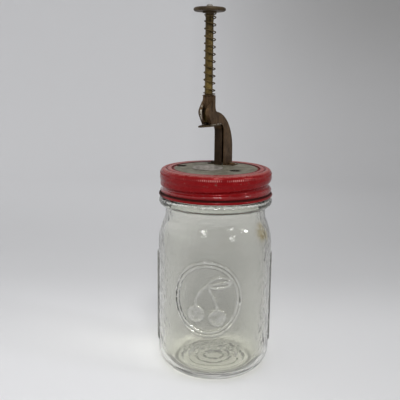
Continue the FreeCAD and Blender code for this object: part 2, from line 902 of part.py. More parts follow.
def make_return_spring():
    """Open coil spring: one wire, wound to the left, with a straight end at each face."""
    wire = d.wire_radius.number
    low = washer_top.number + wire + d.coil_play.number
    high = flange_bottom.number - wire - d.coil_play.number
    radius = d.coil_radius.number
    total = d.coil_turns.number + 2 * d.end_turns.number
    steps_a_turn = 4

    def place(turn):
        angle = -2 * math.pi * turn
        return FreeCAD.Vector(radius * math.cos(angle), radius * math.sin(angle),
                              coil_level(turn, low, high))

    def heading(turn):
        span = 0.01
        before, after = max(turn - span, 0), min(turn + span, total)
        angle = -2 * math.pi * turn
        rise = (coil_level(after, low, high) - coil_level(before, low, high)) / (after - before)
        way = FreeCAD.Vector(math.sin(angle), -math.cos(angle), 0) * (2 * math.pi * radius)
        return (way + FreeCAD.Vector(0, 0, rise)).normalize()

    count = round(total * steps_a_turn)
    turns = [total * i / count for i in range(count + 1)]
    arcs = []
    for before, after in zip(turns, turns[1:]):
        arcs.extend(biarc(place(before), heading(before), place(after), heading(after)))
    start, finish = place(0), place(total)
    lead_in = start - heading(0) * (2 * wire)
    lead_out = finish + heading(total) * (2 * wire)
    edges = [Part.LineSegment(lead_in, start).toShape()]
    edges += [arc.toShape() for arc in arcs]
    edges.append(Part.LineSegment(finish, lead_out).toShape())
    shell = Part.BRepOffsetAPI.MakePipeShell(Part.Wire(edges))
    section = Part.Wire([Part.Circle(lead_in, heading(0), wire).toShape()])
    shell.add(section)
    shell.build()
    shell.makeSolid()
    spring = doc.addObject("Part::Feature", "return_spring")
    spring.Label = "return_spring"
    spring.Shape = shell.shape()
    spring.Placement = FreeCAD.Placement(FreeCAD.Vector(d.axis_x.number, d.axis_y.number, 0),
                                         FreeCAD.Rotation())
    length = sum(edge.Length for edge in edges)
    print("spring volume over section times length:",
          round(spring.Shape.Volume / (math.pi * wire ** 2 * length), 4))
    gap = least_gap(place, total, 2 * wire)
    print("spring least gap to itself:", round(gap, 3), "mm")
    if gap <= LEAST_COIL_GAP:
        raise RuntimeError("the spring's turns are too close")
    return spring


def least_gap(place, total, thickness):
    """Least free distance between points of the wire that are over a third of a turn apart."""
    samples = 48
    points = [place(i / samples) for i in range(round(total * samples) + 1)]
    least = min((p - q).Length for i, p in enumerate(points)
                for q in points[i + samples // 3:i + 2 * samples])
    return least - thickness


def check(parts):
    """Stop if any object failed, or any piece has no valid solid."""
    doc.recompute()
    for item in doc.Objects:
        if {"Invalid", "Error"} & set(item.State):
            raise RuntimeError(f"{item.Label} failed: {item.State}")
    for part in parts:
        if part.Shape.isNull() or not part.Shape.isValid() or part.Shape.Volume <= 0:
            raise RuntimeError(f"{part.Label} has no valid solid")


def main():
    parts = [make() for make in (
        make_jar, make_gasket, make_lid_plate, make_screw_band, make_fruit_seat, make_arm,
        make_foot_rivets, make_guide_sleeve, make_stripper_plate, make_spring_washer,
        make_return_spring, make_plunger_rod, make_button_collar, make_thumb_button,
        make_button_rivet)]
    check(parts)
    os.makedirs(PARTS_FOLDER, exist_ok=True)
    for part in parts:
        part.Shape.exportStep(f"{PARTS_FOLDER}/{part.Label}.step")
        box = part.Shape.BoundBox
        print(part.Label, "solids", len(part.Shape.Solids), "volume", round(part.Shape.Volume, 1),
              "z", round(box.ZMin, 2), round(box.ZMax, 2), "x", round(box.XMin, 2), round(box.XMax, 2))


main()
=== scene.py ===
import bmesh
import bpy
import math
from mathutils import Matrix, Vector
from mathutils.geometry import interpolate_bezier
from mathutils.kdtree import KDTree


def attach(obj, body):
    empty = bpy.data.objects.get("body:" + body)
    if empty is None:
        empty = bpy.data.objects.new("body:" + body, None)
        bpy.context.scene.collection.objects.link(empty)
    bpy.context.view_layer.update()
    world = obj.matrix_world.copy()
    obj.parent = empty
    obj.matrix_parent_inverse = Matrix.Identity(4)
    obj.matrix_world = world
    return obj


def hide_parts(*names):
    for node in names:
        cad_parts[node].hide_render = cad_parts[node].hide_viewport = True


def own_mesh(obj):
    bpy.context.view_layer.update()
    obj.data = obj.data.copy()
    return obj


# Jar-top fruit pitter. Shapes are written in millimetres, as in the CAD source, and scaled to
# metres when a piece is finished. Finishes read a piece's own coordinates, in metres. The front
# of the jar faces -Y.

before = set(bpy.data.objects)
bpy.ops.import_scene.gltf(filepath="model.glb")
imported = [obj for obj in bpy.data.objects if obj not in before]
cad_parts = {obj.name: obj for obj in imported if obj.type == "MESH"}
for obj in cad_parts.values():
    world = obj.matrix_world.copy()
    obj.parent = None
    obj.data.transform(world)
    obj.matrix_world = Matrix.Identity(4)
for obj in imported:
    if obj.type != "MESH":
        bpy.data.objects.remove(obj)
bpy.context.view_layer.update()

MM = 0.001
WELD = 0.0004
FRONT = -math.pi / 2

# The plunger's upright axis, the bearing of the arm's plane, and how far the two drain holes lie
# from that axis, across the arm.
PLUNGER = (-5.3, -1.0)
ARM_TURN = math.radians(62)
DRAIN_OFFSET = 19.3

# The right-handed thread runs up the jar's finish from its left side, and is rolled into the band
# from its back. Its ends fade over a share of a turn.
THREAD_LEAD = 5.08
THREAD_FADE = 0.05
JAR_THREAD = {"begin": math.pi, "level": 118.9, "turns": 1.25}
JAR_THREAD_HEIGHT = 1.25
JAR_THREAD_HALF = 1.6
BAND_THREAD = {"begin": math.pi / 2, "level": 118.9 + THREAD_LEAD / 4, "turns": 1.0}
BAND_THREAD_HALF = 1.75
BAND_THREAD_OUTSIDE = 1.3
BAND_THREAD_INSIDE = 0.9
# The band's waist: what its rolled thread gains in depth and half width towards the right.
WAIST_DEPTH = 0.45
WAIST_HALF = 1.25

JAR_STEPS = 18
JAR_RADIUS = 36.9
WALL_LOW = 15
WALL_HIGH = 84
NEAR = 0.1
FINISH_RADIUS = 33.2
FINISH_LOW = 115.8
PUSH_UP = 3.2
PUSH_UP_RADIUS = 23.4
BASE_RINGS = (6.4, 11.4, 16.4, 21.4)
RING_SECTION = ((-0.8, 0), (-0.3, 0.42), (0.3, 0.42), (0.8, 0))

# Upright grip ribs: one in the middle of the left and the right side, and more beside it.
RIBS_BESIDE = 2
RIB_STEP = math.radians(5.5)
RIB_HEIGHT = 0.75
RIB_HALF = 0.95
RIB_LOW = 18.5
RIB_HIGH = 79.5
RIB_FADE = 1.5
RIB_MARGIN = 0.5

# The raised sprig on the jar's front, drawn in (right, up) from its middle: two stems, a leaf and
# its vein as curves, two ovals round it by their half sizes, and cherries by middle and radius.
SPRIG_TURN = math.radians(-8)
SPRIG_LEVEL = 57.5
SPRIG_REACH = (24, 26)
SPRIG_CURVES = (
    ((0, 9), (-5, 5), (-8, 1), (-7, -5)),
    ((0, 9), (2, 4), (6, 0), (6.5, -7)),
    ((0, 9), (3, 15), (11, 16), (15, 11)),
    ((0, 9), (6, 6), (12, 7), (15, 11)),
    ((0, 9), (5, 10), (10, 11), (13, 11)),
)
SPRIG_OVALS = ((21.5, 23.5), (19.3, 21.3))
CHERRIES = ((-7, -9.5, 4.8), (6.5, -11.5, 4.8))
CURVE_POINTS = 120
ROUND_POINTS = 640
LINE_HEIGHT = 0.8
LINE_HALF = 1.2
LINE_SLOPE = 0.75
CHERRY_HEIGHT = 0.5
CHERRY_EDGE = 1.6

# The band's skirt starts above its curl. Its inner and outer faces lie on both sides of a middle
# radius. Its beads are given by level, half width and height.
BAND_STEPS = 45
SKIRT_LOW = 119
SKIRT_RADIUS = 34.5
SKIRT_MIDDLE = 35.2
BEADS = ((128.4, 2.4, 0.35), (120.6, 1.4, 0.3))
KNURLS = 180
KNURL_LEVEL = 130.9
KNURL_RADIUS = 35.1
KNURL_HALF = 1.0
KNURL_HEIGHT = 0.3

# The spring stands between the neck's washer and the button's collar, slack and a little off the
# rod's middle.
SPRING_LOW = 179.8
SPRING_HIGH = 228.9
SPRING_LEAN = 0.4
WIRE_RADIUS = 0.36
WIRE_SIDES = 12
COIL_RADIUS = 3.4
COIL_PLAY = 0.05
COIL_STEPS = 32
OPEN_TURNS = 10.5
END_TURNS = 0.75
END_PITCH = 1.45

# Edges of the CAD nodes are broken by this width where they turn by more than this angle.
EDGE_WIDTH = 0.12
EDGE_ANGLE = 35
NODE_WELD = 0.01
SMALL_STEPS = 6

# The viewpoint fitted to the photograph: in front, a little above the band, tipped down.
CAMERA_PLACE = (-10.0, -400.0, 196.5)
CAMERA_PITCH = 11.9
CAMERA_ROLL = 0.6
FOCAL_PIXELS = 630
FRAME_PIXELS = 400
SENSOR_WIDTH = 36

# Soft boxes: bearing (0 is the front, positive to the right) and elevation in degrees, distance,
# width and height in metres, and power in watts.
LAMPS = (
    ("right_window", 69, 29, 1.0, 0.11, 0.17, 1.8),
    ("middle_window", 34, 20, 1.0, 0.12, 0.1, 0.3),
    ("left_window", -27, 32, 1.0, 0.12, 0.2, 0.6),
    ("front_light", 3, 52, 1.0, 0.24, 0.22, 4.6),
    ("ceiling", 10, 84, 1.1, 0.7, 0.7, 1.1),
    ("back_fill", 170, 45, 1.05, 0.5, 0.4, 0.6),
)
LAMP_AIM = (0, 0, 0.1)
ROOM_LIGHT = 0.38


class Signal:
    """A socket in a finish's node tree. Arithmetic on it adds Math nodes."""

    def __init__(self, finish, socket):
        self.finish = finish
        self.socket = socket

    def maths(self, operation, first, second):
        return self.finish.node("ShaderNodeMath", {"operation": operation}, {0: first, 1: second})

    def __add__(self, other):
        return self.maths("ADD", self, other)

    __radd__ = __add__

    def __sub__(self, other):
        return self.maths("SUBTRACT", self, other)

    def __rsub__(self, other):
        return self.maths("SUBTRACT", other, self)

    def __mul__(self, other):
        return self.maths("MULTIPLY", self, other)

    __rmul__ = __mul__

    def __pow__(self, other):
        return self.maths("POWER", self, other)


class Finish:
    """A material whose nodes are added one by one, on the piece's own coordinates."""

    def __init__(self, name):
        self.material = bpy.data.materials.new(name)
        self.material.use_nodes = True
        self.tree = self.material.node_tree
        self.tree.nodes.clear()
        self.place = self.node("ShaderNodeTexCoord", output="Object")

    def node(self, kind, settings=None, sockets=None, output=0):
        """Add a node, give it its settings, then the values or links of its sockets."""
        node = self.tree.nodes.new(kind)
        for name, value in (settings or {}).items():
            setattr(node, name, value)
        for socket, value in (sockets or {}).items():
            if isinstance(value, Signal):
                self.tree.links.new(value.socket, node.inputs[socket])
            else:
                node.inputs[socket].default_value = value
        return Signal(self, node.outputs[output])

    def axis(self, name):
        return self.node("ShaderNodeSeparateXYZ", sockets={0: self.place}, output=name)

    def radius(self, centre=(0, 0)):
        """Distance from an upright axis, which is given in millimetres."""
        x = self.axis("X") - centre[0] * MM
        y = self.axis("Y") - centre[1] * MM
        return (x * x + y * y) ** 0.5

    def distance(self, point):
        """Distance from a point, which is given in millimetres."""
        return self.node("ShaderNodeVectorMath", {"operation": "DISTANCE"},
                         {0: self.place, 1: Vector(point) * MM}, output="Value")

    def stretched(self, scale):
        return self.node("ShaderNodeMapping", sockets={"Vector": self.place, "Scale": scale})

    def noise(self, scale, detail=4, roughness=0.55, place=None):
        return self.node("ShaderNodeTexNoise", sockets={
            "Vector": place or self.place, "Scale": scale, "Detail": detail,
            "Roughness": roughness})

    def between(self, value, low, high):
        """0 below low, 1 above high, and a smooth rise from one to the other."""
        return self.node("ShaderNodeMapRange", {"interpolation_type": "SMOOTHSTEP"},
                         {"Value": value, "From Min": low, "From Max": high})

    def within(self, value, rise, fall):
        """A smooth rise from 0 to 1 over one span, and a fall back to 0 over a later one."""
        return self.between(value, *rise) - self.between(value, *fall)

    def absolute(self, value):
        return self.node("ShaderNodeMath", {"operation": "ABSOLUTE"}, {0: value})

    def mix(self, share, first, second):
        return self.node("ShaderNodeMix", {"data_type": "RGBA"},
                         {0: share, 6: first, 7: second}, output=2)

    def bump(self, height, distance, strength):
        return self.node("ShaderNodeBump", sockets={
            "Height": height, "Distance": distance, "Strength": strength})

    def surface(self, **sockets):
        """The Principled shader, with sockets named in lower case with underscores."""
        known = {"ior": "IOR", "specular_ior_level": "Specular IOR Level"}
        named = {known.get(key, key.replace("_", " ").title()): value
                 for key, value in sockets.items()}
        return self.node("ShaderNodeBsdfPrincipled", sockets=named)

    def blend(self, share, first, second):
        return self.node("ShaderNodeMixShader", sockets={0: share, 1: first, 2: second})

    def done(self, shader):
        output = self.tree.nodes.new("ShaderNodeOutputMaterial")
        self.tree.links.new(shader.socket, output.inputs["Surface"])
        return self.material


def colour(red, green, blue):
    return (red, green, blue, 1)


BLACK = colour(0, 0, 0)
WHITE = colour(1, 1, 1)


def pressed_glass():
    """Old jar glass: wavy, filmed inside and at the foot of raised lines with painted shade,
    scuffed on their tops, dusty with a painted highlight, splashed.
    """
    finish = Finish("pressed_glass")
    level = finish.axis("Z")
    around = finish.radius()
    swell = finish.noise(70, 2) + 0.8 * finish.noise(260, 2)
    swell *= finish.between(level, 0.008, 0.030)

    # Painted shade: a darker inner coat that dims the view through the jar, most in its middle,
    # where the lid's shadow lies behind it.
    film_and_shade = (1 - finish.between(around, 0.0342, 0.0350)) * finish.between(level, 0.001, 0.014)
    film_and_shade *= 1 - finish.between(level, 0.080, 0.101)
    film_and_shade *= 1 - 0.4 * finish.between(finish.absolute(finish.axis("X")), 0.008, 0.028)
    # Painted shade: a darker tint at the foot of every raised line.
    shaded_corner = finish.within(around, (0.03692, 0.0370), (0.0371, 0.0373))
    collar = finish.between(level, 0.1085, 0.1105)
    stain = 1 - finish.between(finish.distance((29.7, -18, 96)), 0.003, 0.009)
    stain *= finish.between(finish.noise(260, 5), 0.35, 0.55)
    tone = finish.mix(film_and_shade, colour(0.95, 0.95, 0.905), colour(0.555, 0.555, 0.515))
    tone = finish.mix(shaded_corner, tone, colour(0.50, 0.50, 0.47))
    tone = finish.mix(collar, tone, colour(0.82, 0.83, 0.75))
    tone = finish.mix(stain, tone, colour(0.66, 0.55, 0.30))
    glass = finish.surface(base_color=tone, roughness=0.012, ior=1.5, transmission_weight=0.97,
                           normal=finish.bump(swell, 0.0008, 0.4))

    scuff = finish.between(around, 0.0372, 0.0374)
    # Dusty ledge on the collar, made pale enough to serve as a painted highlight along it.
    dust_and_highlight = finish.within(level, (0.1138, 0.1148), (0.1156, 0.1160))
    dust_and_highlight *= finish.between(around, 0.0333, 0.0335)
    dull = (0.22 * scuff + 0.45 * dust_and_highlight) * finish.between(finish.noise(500, 4), 0.35, 0.6)
    haze = finish.surface(base_color=colour(0.8, 0.8, 0.77), roughness=0.5)

    lamp_ray = finish.node("ShaderNodeLightPath", output="Is Shadow Ray")
    clear = finish.node("ShaderNodeBsdfTransparent", sockets={"Color": colour(0.82, 0.82, 0.79)})
    return finish.done(finish.blend(lamp_ray, finish.blend(dull, glass, haze), clear))


def red_enamel():
    """Gloss enamel on tin: scuffed pale on top and, with a painted glint, on the knurl, dirty in
    hollows, painted shade above the curl, rusted on it.
    """
    finish = Finish("red_enamel")
    x, y, level = (finish.axis(name) for name in "XYZ")
    around = finish.radius()
    cloud = finish.noise(140, 5)
    speck = finish.noise(900, 3)
    streak = finish.noise(260, 4, 0.6, finish.stretched((0.25, 0.25, 5)))
    tone = finish.mix(0.5 * cloud + 0.5 * streak,
                      colour(0.115, 0.0015, 0.003), colour(0.24, 0.0045, 0.006))

    rim = finish.between(level, 0.1325, 0.1333) * finish.between(speck, 0.36, 0.6)
    tone = finish.mix(0.6 * rim, tone, colour(0.40, 0.14, 0.12))

    bearing = finish.node("ShaderNodeMath", {"operation": "ARCTAN2"}, {0: x, 1: y})
    crests = finish.node("ShaderNodeMath", {"operation": "COSINE"}, {0: KNURLS * bearing})
    # Pale knurl crests: wear, kept to the front middle as a painted glint where the light catches
    # them.
    worn_and_glint = finish.between(crests, 0, 0.7)
    worn_and_glint *= finish.within(level, (0.1302, 0.1306), (0.1313, 0.1317))
    worn_and_glint *= finish.between(cloud, 0.36, 0.52)
    worn_and_glint *= 1 - 0.85 * finish.between(finish.absolute(x - 0.0035), 0.011, 0.017)
    tone = finish.mix(worn_and_glint, tone, colour(0.62, 0.27, 0.25))

    chips = finish.between(finish.noise(330, 6, 0.7), 0.63, 0.68) * 0.4
    bare = finish.mix(speck, colour(0.05, 0.035, 0.025), colour(0.30, 0.26, 0.22))
    tone = finish.mix(chips, tone, bare)

    # Painted shade: a dark line along the gap above the curl; the same dark mix holds dirt in the
    # top's ring groove and rust on the curl's left end.
    crevice_shade = finish.within(level, (0.1176, 0.1182), (0.1191, 0.1195))
    groove = finish.within(around, (0.0310, 0.0313), (0.0317, 0.0320))
    groove *= finish.between(level, 0.1327, 0.1330)
    rust = 1 - finish.between(x, -0.035, -0.031)
    rust *= 1 - finish.between(level, 0.1182, 0.1186)
    grime_and_shade = 0.9 * crevice_shade + 0.75 * groove + rust
    tone = finish.mix(grime_and_shade, tone, colour(0.022, 0.009, 0.007))

    gloss = finish.within(level, (0.1200, 0.1206), (0.1217, 0.1223))
    return finish.done(finish.surface(
        base_color=tone, metallic=0.7 * chips,
        roughness=0.2 + 0.14 * cloud + 0.2 * rim + 0.3 * grime_and_shade,
        specular_ior_level=0.35, specular_tint=colour(1, 0.16, 0.16),
        coat_weight=0.1 + 0.9 * gloss - 0.1 * grime_and_shade, coat_roughness=0.03,
        normal=finish.bump(speck + 2 * cloud - 1.5 * chips, 0.00008, 0.5)))


def arm_marks(finish, tone):
    """A nose scuffed pale, a painted highlight along the lower edge, and painted shade on the far
    side of the stem.
    """
    x, y, level = (finish.axis(name) for name in "XYZ")
    across = (y - PLUNGER[1] * MM) * math.cos(ARM_TURN)
    across -= (x - PLUNGER[0] * MM) * math.sin(ARM_TURN)
    # Painted shade: the far side of the stem darkened below the head.
    shaded_side = finish.between(across, -0.0022, -0.0016) * (1 - finish.between(level, 0.156, 0.160))
    tone = finish.mix(0.7 * shaded_side, tone, colour(0.008, 0.005, 0.003))
    nose = 1 - finish.between(x, -0.0100, -0.0088)
    nose *= 1 - finish.between(across, 0.0023, 0.0031)
    nose *= finish.within(level, (0.1605, 0.163), (0.173, 0.177))
    # Painted highlight: a pale line along the arm's lower edge, mixed in with the scuffed nose.
    lit_lower_edge = 1 - finish.between(level, 0.1611, 0.1617)
    lit_lower_edge *= finish.between(level, 0.1605, 0.1608)
    lit_lower_edge *= 1 - finish.between(x, 0.0030, 0.0045)
    rubbed_and_lit = (nose + 0.7 * lit_lower_edge) * finish.between(finish.noise(500, 4), 0.40, 0.54)
    return finish.mix(rubbed_and_lit, tone, colour(0.50, 0.475, 0.40))


def rod_marks(finish, tone):
    """Mottled plating, with painted shade that darkens and browns it towards the button."""
    mottle = finish.between(finish.noise(1000, 2), 0.5, 0.62)
    # Painted shade: the rod darkens towards the button above it.
    mottle_and_shade = 0.35 * mottle + 0.55 * finish.between(finish.axis("Z"), 0.190, 0.228)
    return finish.mix(mottle_and_shade, tone, colour(0.018, 0.011, 0.005))


def plate_marks(finish, tone):
    """Painted shade round the drain holes, and a painted reflection of the band's red along the
    plate's edge.
    """
    for offset in (DRAIN_OFFSET, -DRAIN_OFFSET):
        drain = (PLUNGER[0] - offset * math.sin(ARM_TURN),
                 PLUNGER[1] + offset * math.cos(ARM_TURN))
        # Painted shade round each drain hole.
        drain_shade = 1 - finish.between(finish.radius(drain), 0.0030, 0.0040)
        tone = finish.mix(0.9 * drain_shade, tone, colour(0.012, 0.010, 0.008))
    # Painted reflection: the plate's edge tinted with the band's red.
    band_reflection = finish.between(finish.radius(), 0.0264, 0.0270)
    return finish.mix(0.9 * band_reflection, tone, colour(0.15, 0.006, 0.006))


def aged_metal(name, dark, light, spot, metallic, roughness,
               grain=(1, 1, 1), spots=0.6, marks=None):
    """Handled old metal: clouds of two tones, fine grain, darker spots and the piece's marks."""
    finish = Finish(name)
    cloud = finish.between(finish.noise(170, 6, 0.65), 0.36, 0.66)
    lines = finish.noise(900, 3, 0.6, finish.stretched(grain))
    blot = finish.between(finish.noise(420, 5, 0.7), spots, spots + 0.1)
    tone = finish.mix(blot, finish.mix(0.65 * cloud + 0.35 * lines, dark, light), spot)
    return finish.done(finish.surface(
        base_color=marks(finish, tone) if marks else tone,
        metallic=metallic - 0.5 * metallic * blot,
        roughness=roughness + 0.22 * lines - 0.08 * cloud + 0.2 * blot,
        specular_ior_level=0.15,
        normal=finish.bump(lines + 0.6 * cloud - blot, 0.00012, 0.5)))


def gasket_rubber():
    finish = Finish("gasket_rubber")
    cloud = finish.noise(260, 4)
    return finish.done(finish.surface(
        base_color=finish.mix(cloud, colour(0.05, 0.035, 0.03), colour(0.11, 0.08, 0.06)),
        roughness=0.62 + 0.2 * cloud, normal=finish.bump(cloud, 0.0001, 0.4)))


def pale_cloth():
    """Woven cloth with painted shade to the right and behind the jar, and a painted glow far up on
    both sides.
    """
    finish = Finish("pale_cloth")
    x, y, level = (finish.axis(name) for name in "XYZ")
    # Painted shade: darker to the right, and darker still up on the right.
    right = finish.between(x, -0.04, 0.55) ** 0.5
    raised = finish.between(level, 0.05, 0.4)
    # Painted shade on the floor behind the jar.
    shade = finish.within(y, (0.04, 0.20), (0.25, 0.65))
    tone = finish.mix(right, colour(0.755, 0.757, 0.77), colour(0.505, 0.505, 0.51))
    tone = finish.mix(right * raised * 0.4, tone, colour(0.18, 0.175, 0.16))
    tone = finish.mix(0.16 * shade, tone, BLACK)
    # Painted light: the cloth glows far up on both sides.
    glow = finish.between(-1 * x, 0.6, 0.9) + 0.4 * finish.between(x, 0.6, 0.9)
    glow *= finish.between(level, 0.05, 0.3)
    return finish.done(finish.surface(
        base_color=tone, roughness=0.9, specular_ior_level=0.1,
        emission_color=finish.mix(glow, BLACK, WHITE), emission_strength=0.35,
        normal=finish.bump(finish.noise(1400, 2), 0.0002, 0.3)))


class Outline:
    """A wire in the plane of +X and +Z, drawn on from its tip in (radius, level)."""

    def __init__(self, r, z):
        self.mesh = bmesh.new()
        self.tip = self.mesh.verts.new((r, 0, z))

    def line(self, r, z, steps=1):
        start = self.tip.co.copy()
        for step in range(steps):
            self.tip = bmesh.ops.extrude_vert_indiv(self.mesh, verts=[self.tip])["verts"][0]
            self.tip.co = start.lerp(Vector((r, 0, z)), (step + 1) / steps)
        return self

    def arc(self, r, z, centre, steps):
        """Swing round a centre, the short way, to the bearing of (r, z)."""
        middle = Vector((centre[0], 0, centre[1]))
        before = self.tip.co - middle
        after = Vector((r, 0, z)) - middle
        made = bmesh.ops.spin(self.mesh, geom=[self.tip], cent=middle,
                              axis=before.cross(after).normalized(),
                              angle=before.angle(after), steps=steps)
        self.tip = next(item for item in made["geom_last"]
                        if isinstance(item, bmesh.types.BMVert))
        return self

    def turned(self, steps, centre=(0, 0)):
        """Turn the wire once round an upright axis: a sixteenth in steps, then doubled."""
        around = {"cent": (0, 0, 0), "axis": (0, 0, 1)}
        wire = self.mesh.verts[:] + self.mesh.edges[:]
        bmesh.ops.spin(self.mesh, geom=wire, angle=math.tau / 16, steps=steps, **around)
        for share in (16, 8, 4, 2):
            made = self.mesh.verts[:] + self.mesh.edges[:] + self.mesh.faces[:]
            bmesh.ops.spin(self.mesh, geom=made, angle=math.tau / share, steps=1,
                           use_duplicate=True, **around)
        bmesh.ops.remove_doubles(self.mesh, verts=self.mesh.verts, dist=WELD)
        bmesh.ops.recalc_face_normals(self.mesh, faces=self.mesh.faces)
        bmesh.ops.translate(self.mesh, vec=(*centre, 0), verts=self.mesh.verts)
        return self.mesh


def placed(name, mesh, material):
    """Make an object of a bmesh in millimetres, at the origin."""
    bmesh.ops.scale(mesh, vec=(MM, MM, MM), verts=mesh.verts)
    data = bpy.data.meshes.new(name)
    mesh.to_mesh(data)
    mesh.free()
    data.shade_smooth()
    data.materials.append(material)
    item = bpy.data.objects.new(name, data)
    bpy.context.scene.collection.objects.link(item)
    return item


def finished(name, mesh, body, material, node, sharp=40):
    """Make a piece of a bmesh in millimetres, which rides on a body and stands for a CAD node."""
    piece = placed(name, mesh, material)
    piece.data.set_sharp_from_angle(angle=math.radians(sharp))
    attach(piece, body)
    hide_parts(node)
    return piece


def polar(point):
    return point.xy.length, math.atan2(point.y, point.x), point.z


def ridge(distance, half_width):
    """Height of a rounded ridge: 1 on its middle line, 0 from half its width on."""
    share = min(abs(distance) / half_width, 1)
    return (1 - share * share) ** 2


def on_thread(thread, bearing, level, half_width):
    """Height of a ridge along a thread, faded at its two ends."""
    first = ((bearing - thread["begin"]) % math.tau) / math.tau
    height = 0
    for turn in (first, first + 1):
        fade = min(turn, thread["turns"] - turn, THREAD_FADE) / THREAD_FADE
        middle = thread["level"] + THREAD_LEAD * turn
        height = max(height, fade * ridge(level - middle, half_width))
    return height


def on_ribs(bearing, level):
    """Height of the grip ribs."""
    away = math.remainder(bearing, math.pi)
    nearest = max(-RIBS_BESIDE, min(RIBS_BESIDE, round(away / RIB_STEP)))
    ends = max(0, min(1, (level - RIB_LOW) / RIB_FADE, (RIB_HIGH - level) / RIB_FADE))
    return RIB_HEIGHT * ends * ridge((away - nearest * RIB_STEP) * JAR_RADIUS, RIB_HALF)


def sprig_lines():
    """Points along the sprig's raised lines, in a tree that finds the nearest one."""
    points = []
    for knots in SPRIG_CURVES:
        corners = [Vector((right, up, 0)) for right, up in knots]
        points += interpolate_bezier(*corners, CURVE_POINTS)
    rounds = [(0, 0, width, height) for width, height in SPRIG_OVALS]
    rounds += [(right, up, size, size) for right, up, size in CHERRIES]
    for right, up, width, height in rounds:
        for number in range(ROUND_POINTS):
            turn = math.tau * number / ROUND_POINTS
            points.append(Vector((right + width * math.cos(turn), up + height * math.sin(turn), 0)))
    tree = KDTree(len(points))
    for number, point in enumerate(points):
        tree.insert(point, number)
    tree.balance()
    return tree


def stroke(distance):
    """Height of a raised line: flat on top, with sloping sides."""
    share = max(0, min(1, (LINE_HALF - distance) / LINE_SLOPE))
    return share * share * (3 - 2 * share)


def on_sprig(lines, right, up):
    """Height of the sprig: its lines, and cherries that are flat on top."""
    height = LINE_HEIGHT * stroke(lines.find((right, up, 0))[2])
    for middle, level, size in CHERRIES:
        inside = math.hypot(right - middle, up - level) - size + CHERRY_EDGE
        height += CHERRY_HEIGHT * stroke(inside)
    return height


def on_wall(point):
    return point.xy.length > JAR_RADIUS - NEAR and WALL_LOW < point.z < WALL_HIGH


def from_sprig(point):
    """Place on the jar's wall from the middle of the sprig: along to the right, and up."""
    bearing = math.atan2(point.y, point.x)
    return (bearing - FRONT - SPRIG_TURN) * JAR_RADIUS, point.z - SPRIG_LEVEL


def near_sprig(point):
    right, up = from_sprig(point)
    return on_wall(point) and abs(right) < SPRIG_REACH[0] and abs(up) < SPRIG_REACH[1]


def near_ribs(point):
    away = math.remainder(math.atan2(point.y, point.x), math.pi)
    beside = abs(away) < (RIBS_BESIDE + 1) * RIB_STEP
    return on_wall(point) and beside and RIB_LOW - RIB_MARGIN < point.z < RIB_HIGH + RIB_MARGIN


def jar_outline():
    """The jar's section: under its base, up the outside, over the lip and down the inside."""
    wire = Outline(0, PUSH_UP)
    for ring in BASE_RINGS:
        for step, drop in RING_SECTION:
            reach = ring + step
            wire.line(reach, PUSH_UP * (1 - (reach / PUSH_UP_RADIUS) ** 2) - drop)
    # Foot, heel and wall.
    wire.line(23.6, 0.05).line(24.2, 0).line(26.2, 0).line(26.8, 0.05)
    wire.arc(JAR_RADIUS, 14.53, (21.4, 14.53), 16).line(JAR_RADIUS, 18.2)
    wire.line(JAR_RADIUS, 20.3, 4).line(JAR_RADIUS, 32, 6)
    wire.line(JAR_RADIUS, 81, 54).line(JAR_RADIUS, WALL_HIGH, 2)
    # Shoulder, neck and collar.
    wire.arc(33.4, 99.82, (-0.6, WALL_HIGH), 12).arc(32.3, 104.79, (44.1, 104.79), 8)
    wire.line(32.3, 109.6, 2).line(32.9, 110.2).line(33.9, 110.2)
    wire.arc(36.4, 112.7, (33.9, 112.7), 5).line(36.4, 113.2).arc(34.2, 115.4, (34.2, 113.2), 6)
    # Threaded finish and lip.
    wire.line(FINISH_RADIUS, 115.4).line(FINISH_RADIUS, 130, 18).arc(32.1, 131.1, (32.1, 130), 4)
    wire.line(30.7, 131.1).arc(29.6, 130, (30.7, 130), 4)
    # Inside, from the mouth to the floor.
    wire.line(29.6, 110.2, 2).line(29.3, 104.79)
    wire.arc(30.54, 98.55, (44.1, 104.79), 8).arc(33.9, WALL_HIGH, (-0.6, WALL_HIGH), 12)
    wire.line(33.9, 14.53, 6).arc(31.67, 7.4, (21.4, 14.53), 10)
    wire.line(28, 6.9).line(20, 6.8).line(10, 7.2).line(0, 7.4)
    return wire


def make_jar():
    mesh = jar_outline().turned(JAR_STEPS)
    for cuts, wanted in ((2, near_sprig), (1, near_ribs)):
        edges = [edge for edge in mesh.edges if all(wanted(vert.co) for vert in edge.verts)]
        bmesh.ops.subdivide_edges(mesh, edges=edges, cuts=cuts, use_grid_fill=True)
    lines = sprig_lines()
    for vert in mesh.verts:
        radius, bearing, level = polar(vert.co)
        if on_wall(vert.co):
            lift = on_ribs(bearing, level)
            if near_sprig(vert.co):
                lift += on_sprig(lines, *from_sprig(vert.co))
            vert.co.xy *= (JAR_RADIUS + lift) / radius
        elif radius > FINISH_RADIUS - NEAR and level > FINISH_LOW:
            lift = JAR_THREAD_HEIGHT * on_thread(JAR_THREAD, bearing, level, JAR_THREAD_HALF)
            vert.co.xy *= 1 + lift / radius
    finished("glass_jar", mesh, "jar", pressed_glass(), "jar", sharp=60)


